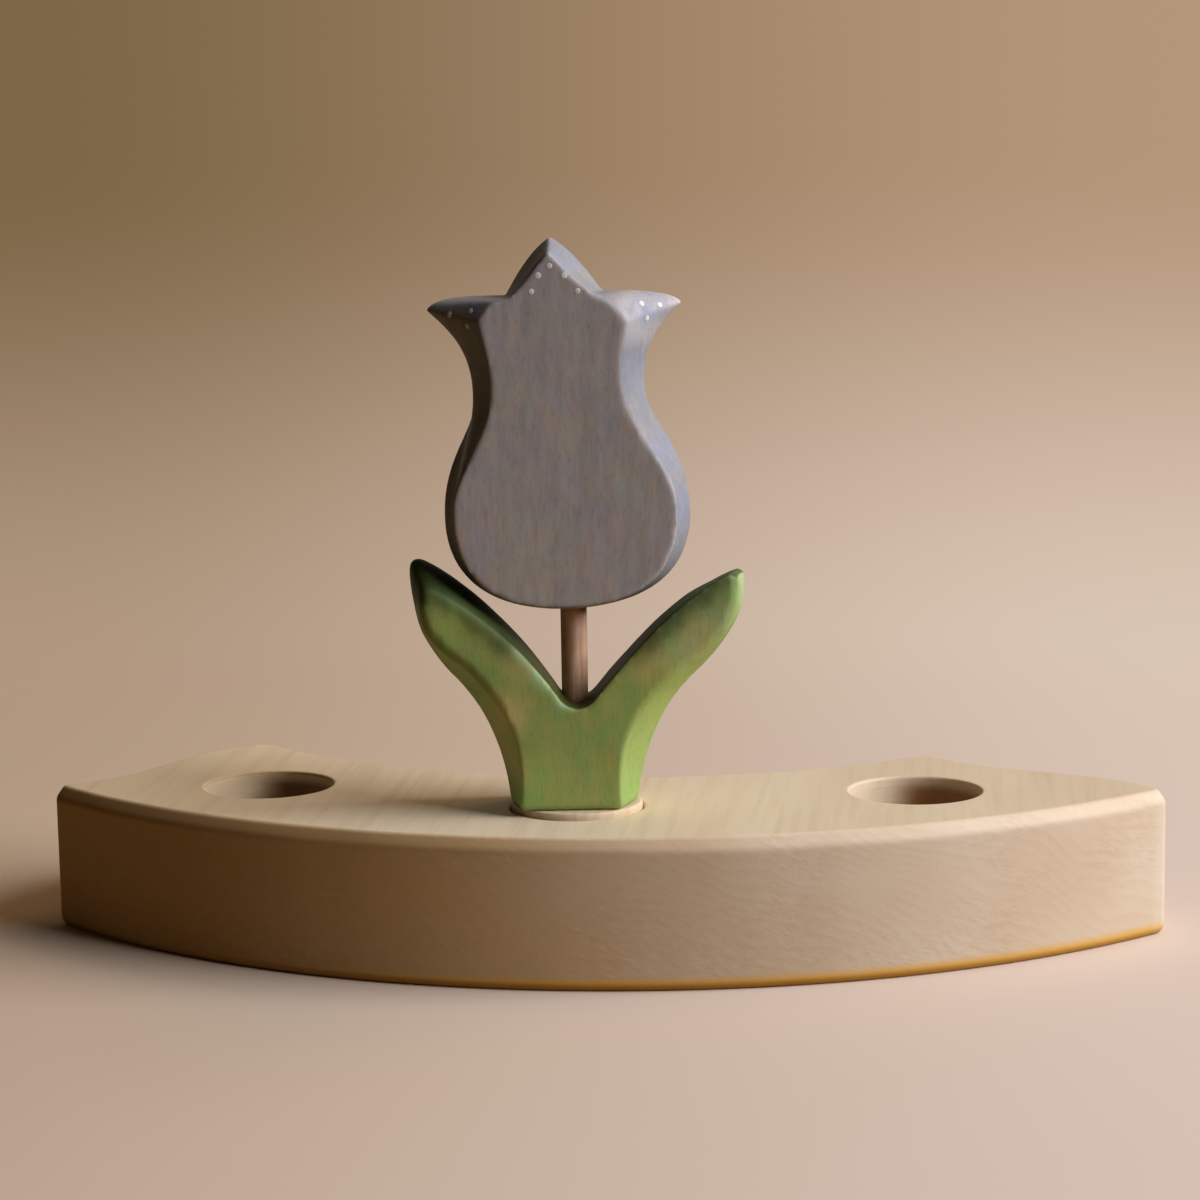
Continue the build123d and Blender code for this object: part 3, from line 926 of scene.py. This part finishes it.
def make_stem():
    low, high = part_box("stem")
    radius = (high.x - low.x) / 2 - STEM_PLAY
    corners = [(0, low.z), (radius, low.z), (radius, high.z), (0, high.z)]
    profile = soft_profile(corners, (STEM_END_RUB, STEM_END_RUB))
    middle = len(profile) // 2
    heights = np.arange(profile[middle - 1][1] + STEM_STEP, profile[middle][1] - STEM_STEP / 2, STEM_STEP)
    profile[middle:middle] = [(radius, height) for height in heights]
    shell = turned_shell(profile, STEM_SEGMENTS)
    places = np.array(shell.points)
    angle = np.arctan2(places[:, 1], places[:, 0])
    up = places[:, 2] / MM
    oval = sum(part * np.sin(turns * angle + twist * up + phase) for part, turns, twist, phase in STEM_WAVES)
    places[:, :2] *= (1 + STEM_OVAL * (oval - 1))[:, None]
    shell.points = [tuple(place) for place in places]
    finish_piece(shell.piece("dowel_stem"), "stem", make_stem_wood(), "peg_and_stem")


def dabs(across, up, marks):
    """Soft round dabs of a pigment, each with its place and reach in millimetres and its strength."""
    share = np.zeros(len(across))
    for x, z, reach, strength in marks:
        off = np.hypot(across / MM - x, up / MM - z)
        share = np.maximum(share, strength * (1 - soft_step(off, 0.25 * reach, reach)))
    return share


def nearness(across, up, marked):
    """How far each vertex lies from the marked ones, seen from the front."""
    tree = KDTree(int(marked.sum()))
    for number, (x, z) in enumerate(zip(across[marked], up[marked])):
        tree.insert((x, z, 0), number)
    tree.balance()
    return np.array([tree.find((x, z, 0))[2] for x, z in zip(across, up)])


def make_leaf():
    piece = even_board("leaf_pair", "leaf_board")
    ahead, right = facing(piece)
    places = points_of(piece)
    across = places @ right
    up = places[:, 2]
    left_tip = places[np.argmax(up - across)]
    right_tip = places[np.argmax(up + across)]
    normals = normals_of(piece)
    flat = np.abs(normals @ ahead)
    inner = (normals[:, 2] > 0.3) & (flat < 0.5)
    off = nearness(across, up, inner)
    depth = places @ ahead
    front = (depth - depth.min()) / (depth.max() - depth.min())
    lean = [normals[inner & (up > BLADE_FOOT) & (across * side > 0)].mean(0) for side in (-1, 1)]
    side = soft_step(across, -LIFT_BLEND, LIFT_BLEND)[:, None]
    moved = lean[0] * (1 - side) + lean[1] * side
    moved -= np.outer(moved @ ahead, ahead)
    moved /= np.linalg.norm(moved, axis=1)[:, None]
    left_lift = LEFT_LIFT[0] + LEFT_LIFT[1] * soft_step(up, *LEFT_LIFT_HEIGHTS)
    right_lift = RIGHT_LIFT[0] + RIGHT_LIFT[1] * soft_step(up, *RIGHT_LIFT_HEIGHTS)
    lift = np.where(across < 0, left_lift, right_lift)
    sage = 1 - soft_step(np.linalg.norm(places - right_tip, axis=1), *RIGHT_TIP_FADE)
    share = lift * front * (1 - soft_step(off, 0.0, LIFT_REACH)) - TIP_DROP * (1 - front) * sage
    place_points(piece, places + moved * share[:, None])
    rub_board(piece, [right_tip])
    from_tip = np.hypot(across - right_tip @ right, up - right_tip[2])
    rub(piece, TIP_ROUNDS, 1 - soft_step(from_tip, *TIP_RUB_REACH))
    rub(piece, ROLLED_ROUNDS, soft_step(-across, *ROLLED_FROM) * (1 - soft_step(off, *ROLLED_REACH)))
    outward = normals_of(piece) @ right * np.sign(across)
    outer = spread(piece, arris_of(piece) * soft_step(outward, 0.05, 0.3), OUTER_SPREAD)
    rub(piece, ROLLED_ROUNDS, soft_step(outer, 0.05, 0.3) * soft_step(up, *OUTER_HEIGHTS))
    hand_work(piece)
    normals = normals_of(piece)
    flat = np.abs(normals @ ahead)
    outward = normals @ right * np.sign(across)
    bevel = soft_step(outward, 0.3, 0.7) * (1 - soft_step(flat, *BOARD_FLATNESS))
    blade = soft_step(up, *BLADE_HEIGHTS)
    tip = 1 - soft_step(np.linalg.norm(places - left_tip, axis=1), *LEFT_TIP_FADE)
    near = soft_step(flat, 0.4, 0.8) * (1 - soft_step(off, *MINT_FADE))
    paint_masks(
        piece,
        outer_bevel=bevel,
        # Inner walls: darker stain and partly painted shade
        inner_edge=soft_step(normals[:, 2], 0.25, 0.6) * (1 - soft_step(flat, 0.5, 0.9)),
        # Arrises, which take a painted highlight
        arris=arris_of(piece),
        # Sage: paint patches and a painted highlight near the right tip
        sage=np.maximum(sage, dabs(across, up, SAGE_DABS)),
        # Dark along the inner edges: partly stain, partly painted shade of the bloom's shadow
        shore=blade * (1 - sage) * (1 - soft_step(off, *SHORE_FADE)),
        # The left tip's dark: partly stain, partly painted shadow of the bloom
        dusk=tip * (1 - soft_step(off, *DUSK_FADE)) * (1 - 0.6 * bevel),
        mint=near * dabs(across, up, MINT_DABS),
        lime=dabs(across, up, LIME_DABS),
        umber=dabs(across, up, UMBER_DABS),
    )
    finish_piece(piece, "leaf_pair", make_green_stain(), "flower")


def make_bloom():
    piece = even_board("bloom", "bloom_board")
    ahead, right = facing(piece)
    places = points_of(piece)
    across = places @ right
    depth = places @ ahead
    fronts = places[(normals_of(piece) @ ahead > BOARD_FLATNESS[1]) & (np.abs(across) < CROWN_HALF_WIDTH)]
    crown = fronts[np.argmax(fronts[:, 2])]
    away = np.hypot(across - crown @ right, places[:, 2] - crown[2])
    front = soft_step(depth, depth.max() - CROWN_DEPTH, depth.max())
    lift = CROWN_LIFT * (1 - soft_step(away, 0.0, CROWN_REACH)) * front
    place_points(piece, places + np.outer(lift, (0, 0, 1)))
    tips = [places[np.argmax(across * side + 0.2 * places[:, 2])] for side in (1, -1)]
    rub_board(piece, tips + [places[np.argmax(places[:, 2])]])
    hand_work(piece)
    places = points_of(piece)
    flat = np.abs(normals_of(piece) @ ahead)
    bevel = 1 - soft_step(flat, *BOARD_FLATNESS)
    high = soft_step(places[:, 2], *PETAL_HEIGHTS)
    # Arrises facing the light at the right, which take a painted highlight
    lit_side = soft_step(normals_of(piece) @ right, -0.1, 0.3)
    paint_masks(
        piece,
        bevel=bevel,
        # Painted light on the right petal's bevels
        petal=bevel * high * soft_step(across, *PETAL_FROM),
        blue=soft_step(bevel, 0.3, 0.9) * dabs(across, places[:, 2], BLUE_DABS),
        arris=lit_side * spread(piece, arris_of(piece), BLOOM_ARRIS_SPREAD),
    )
    finish_piece(piece, "bloom", make_mauve_stain(), "flower")
    return piece, ahead, right


def make_dot_tree(bloom, paint):
    """Geometry Nodes: a small dome of paint wherever a mark, moved along its aim, meets the bloom."""
    tree = bpy.data.node_groups.new("paint_dots", "GeometryNodeTree")
    tree.is_modifier = True
    face = tree.interface
    face.new_socket("Marks", in_out="INPUT", socket_type="NodeSocketGeometry")
    sockets = {
        "Bloom": ("NodeSocketObject", bloom),
        "Diameter": ("NodeSocketFloat", DOT_DIAMETER),
        "Height": ("NodeSocketFloat", DOT_HEIGHT),
        "Variation": ("NodeSocketFloat", DOT_VARIATION),
        "Seed": ("NodeSocketInt", DOT_SEED),
        "Paint": ("NodeSocketMaterial", paint),
    }
    made = {}
    for name, (kind, value) in sockets.items():
        made[name] = (face.new_socket(name, in_out="INPUT", socket_type=kind), value)
    face.new_socket("Dots", in_out="OUTPUT", socket_type="NodeSocketGeometry")
    nodes = Nodes(tree)
    given = nodes.add("NodeGroupInput").outputs
    target = nodes.add("GeometryNodeObjectInfo", {"Object": given["Bloom"]}).outputs["Geometry"]
    aim = nodes.add("GeometryNodeInputNamedAttribute", {"Name": "aim"}, data_type="FLOAT_VECTOR").outputs[0]
    hit = nodes.add("GeometryNodeRaycast", {"Target Geometry": target, "Ray Direction": aim}).outputs
    marks = nodes.add("GeometryNodeMeshToPoints", {"Mesh": given["Marks"]}).outputs[0]
    tilt = nodes.add("FunctionNodeAlignRotationToVector", {"Vector": hit["Hit Normal"]}, axis="Z").outputs[0]
    storing = {"Geometry": marks, "Name": "tilt", "Value": tilt}
    tilted = nodes.add("GeometryNodeStoreNamedAttribute", storing, data_type="QUATERNION", domain="POINT")
    seating = {"Geometry": tilted.outputs[0], "Position": hit["Hit Position"]}
    seated = nodes.add("GeometryNodeSetPosition", seating).outputs[0]
    turn = nodes.add("GeometryNodeInputNamedAttribute", {"Name": "tilt"}, data_type="QUATERNION").outputs[0]
    dome = nodes.add("GeometryNodeMeshUVSphere", {"Segments": 16, "Rings": 8, "Radius": 0.5}).outputs[0]
    limits = {2: nodes.without(given["Variation"]), 3: nodes.math("ADD", 1.0, given["Variation"])}
    vary = nodes.add("FunctionNodeRandomValue", {**limits, "Seed": given["Seed"]}, data_type="FLOAT")
    wide = nodes.times(given["Diameter"], vary.outputs[1])
    size = nodes.joined(wide, wide, nodes.times(given["Height"], 2.0))
    placing = {"Points": seated, "Instance": dome, "Rotation": turn, "Scale": size}
    placed = nodes.add("GeometryNodeInstanceOnPoints", placing).outputs[0]
    solid = nodes.add("GeometryNodeRealizeInstances", {"Geometry": placed}).outputs[0]
    painted = nodes.add("GeometryNodeSetMaterial", {"Geometry": solid, "Material": given["Paint"]})
    nodes.feed(nodes.add("NodeGroupOutput").inputs[0], painted.outputs[0])
    return tree, {socket.identifier: value for socket, value in made.values()}


def make_dots(bloom, ahead, right):
    """White dots on the crown and the outer petals, alike on front and back."""
    marks = []
    aims = []
    for sign in (1, -1):
        for across, up in CROWN_DOTS + LEFT_PETAL_DOTS + RIGHT_PETAL_DOTS:
            marks.append(right * across * MM + np.array((0, 0, up * MM)) + ahead * sign * DOT_START)
            aims.append(-sign * ahead)
    mesh = bpy.data.meshes.new("paint_dots")
    mesh.from_pydata(marks, [], [])
    aim = mesh.attributes.new("aim", "FLOAT_VECTOR", "POINT")
    aim.data.foreach_set("vector", np.array(aims, np.float32).ravel())
    piece = new_object("paint_dots", mesh)
    tree, values = make_dot_tree(bloom, make_white_paint())
    brush = piece.modifiers.new("paint dots", "NODES")
    brush.node_group = tree
    for identifier, value in values.items():
        brush[identifier] = value
    settle(piece)
    piece.data.polygons.foreach_set("use_smooth", [True] * len(piece.data.polygons))
    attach(piece, "flower")


# Stage

def direction(azimuth, elevation):
    """Unit vector towards a place around the object: azimuth 0 is the front, 90 the right."""
    return Vector((sin(azimuth) * cos(elevation), -cos(azimuth) * cos(elevation), sin(elevation)))


def add_camera():
    back = direction(CAMERA_AZIMUTH, CAMERA_ELEVATION)
    level = Vector((cos(CAMERA_AZIMUTH), sin(CAMERA_AZIMUTH), 0))
    upright = back.cross(level)
    right = level * cos(CAMERA_ROLL) + upright * sin(CAMERA_ROLL)
    up = upright * cos(CAMERA_ROLL) - level * sin(CAMERA_ROLL)
    lens = bpy.data.cameras.new("camera")
    lens.lens = CAMERA_LENS
    lens.sensor_width = CAMERA_SENSOR
    lens.clip_start = 0.01
    camera = new_object("camera", lens)
    camera.matrix_world = Matrix.Translation(CAMERA_PLACE) @ Matrix((right, up, back)).transposed().to_4x4()
    bpy.context.scene.camera = camera


def add_lamp(name, setting, colour):
    lamp = bpy.data.lights.new(name, "AREA")
    lamp.shape = "RECTANGLE"
    lamp.size = setting["width"]
    lamp.size_y = setting["height"]
    lamp.energy = setting["power"]
    lamp.color = colour[:3]
    holder = new_object(name, lamp)
    towards = direction(radians(setting["azimuth"]), radians(setting["elevation"]))
    holder.location = LIGHT_TARGET + towards * setting["distance"]
    holder.rotation_euler = towards.to_track_quat("Z", "Y").to_euler()


def add_room():
    """A room with weak warm light, brighter behind. What the camera sees of it is a soft beige."""
    world = bpy.data.worlds.new("room")
    world.use_nodes = True
    world.node_tree.nodes.clear()
    nodes = Nodes(world.node_tree)
    towards = nodes.add("ShaderNodeTexCoord").outputs["Generated"]
    aside, ahead, above = nodes.parts(towards)
    behind = nodes.rise(ahead, 0.45, 0.95)
    colour = nodes.mix(behind, tint(255, 212, 158), tint(255, 240, 222))
    level = nodes.sloped(behind, ROOM_BACK_STRENGTH - ROOM_FRONT_STRENGTH, ROOM_FRONT_STRENGTH)
    light = nodes.add("ShaderNodeBackground", {"Color": colour, "Strength": level}).outputs[0]
    upper = nodes.math("POWER", nodes.rise(above, -0.2, 0.01), 1.4)
    dim = nodes.mix(upper, tint(178, 152, 129), tint(125, 102, 71))
    bright = nodes.mix(upper, tint(219, 199, 182), tint(180, 150, 122))
    backdrop = nodes.mix(nodes.rise(aside, -0.32, 0.09), dim, bright)
    shown = nodes.add("ShaderNodeBackground", {"Color": backdrop, "Strength": 1.0}).outputs[0]
    seen = nodes.add("ShaderNodeLightPath").outputs["Is Camera Ray"]
    mixed = nodes.add("ShaderNodeMixShader", {0: seen, 1: light, 2: shown}).outputs[0]
    nodes.add("ShaderNodeOutputWorld", {"Surface": mixed})
    bpy.context.scene.world = world


def add_floor():
    """A pale floor that fades into the room, with painted shade that makes it darker and warmer towards the
    left. It throws deeper light back than the camera sees.
    """
    mesh = bpy.data.meshes.new("floor")
    disc = bmesh.new()
    bmesh.ops.create_circle(disc, cap_ends=True, segments=64, radius=FLOOR_RADIUS)
    disc.to_mesh(mesh)
    disc.free()
    floor = new_object("floor", mesh)
    material, nodes, shader = new_finish("pale_floor", 0.1)
    nodes.feed(shader["Roughness"], 0.9)
    seen = nodes.add("ShaderNodeLightPath").outputs["Is Camera Ray"]
    place = nodes.add("ShaderNodeTexCoord").outputs["Object"]
    # Painted shade: the floor the camera sees turns darker and warmer towards the left
    aside = nodes.rise(nodes.parts(place)[0], -0.12, 0.1)
    paper = nodes.mix(aside, tint(214, 191, 168), tint(230, 215, 207))
    nodes.feed(shader["Base Color"], nodes.mix(seen, tint(146, 116, 76), paper))
    far = nodes.add("ShaderNodeVectorMath", {0: place}, operation="LENGTH").outputs["Value"]
    nodes.feed(shader["Alpha"], nodes.rise(far, FLOOR_FADE[1], FLOOR_FADE[0]))
    mesh.materials.append(material)


make_stand()
make_peg()
make_stem()
make_leaf()
make_dots(*make_bloom())
add_camera()
add_lamp("softbox", SOFTBOX, tint(253, 253, 253))
add_lamp("warm_lamp", WARM_LAMP, tint(255, 205, 140))
add_room()
add_floor()
bpy.context.scene.view_settings.view_transform = "Standard"
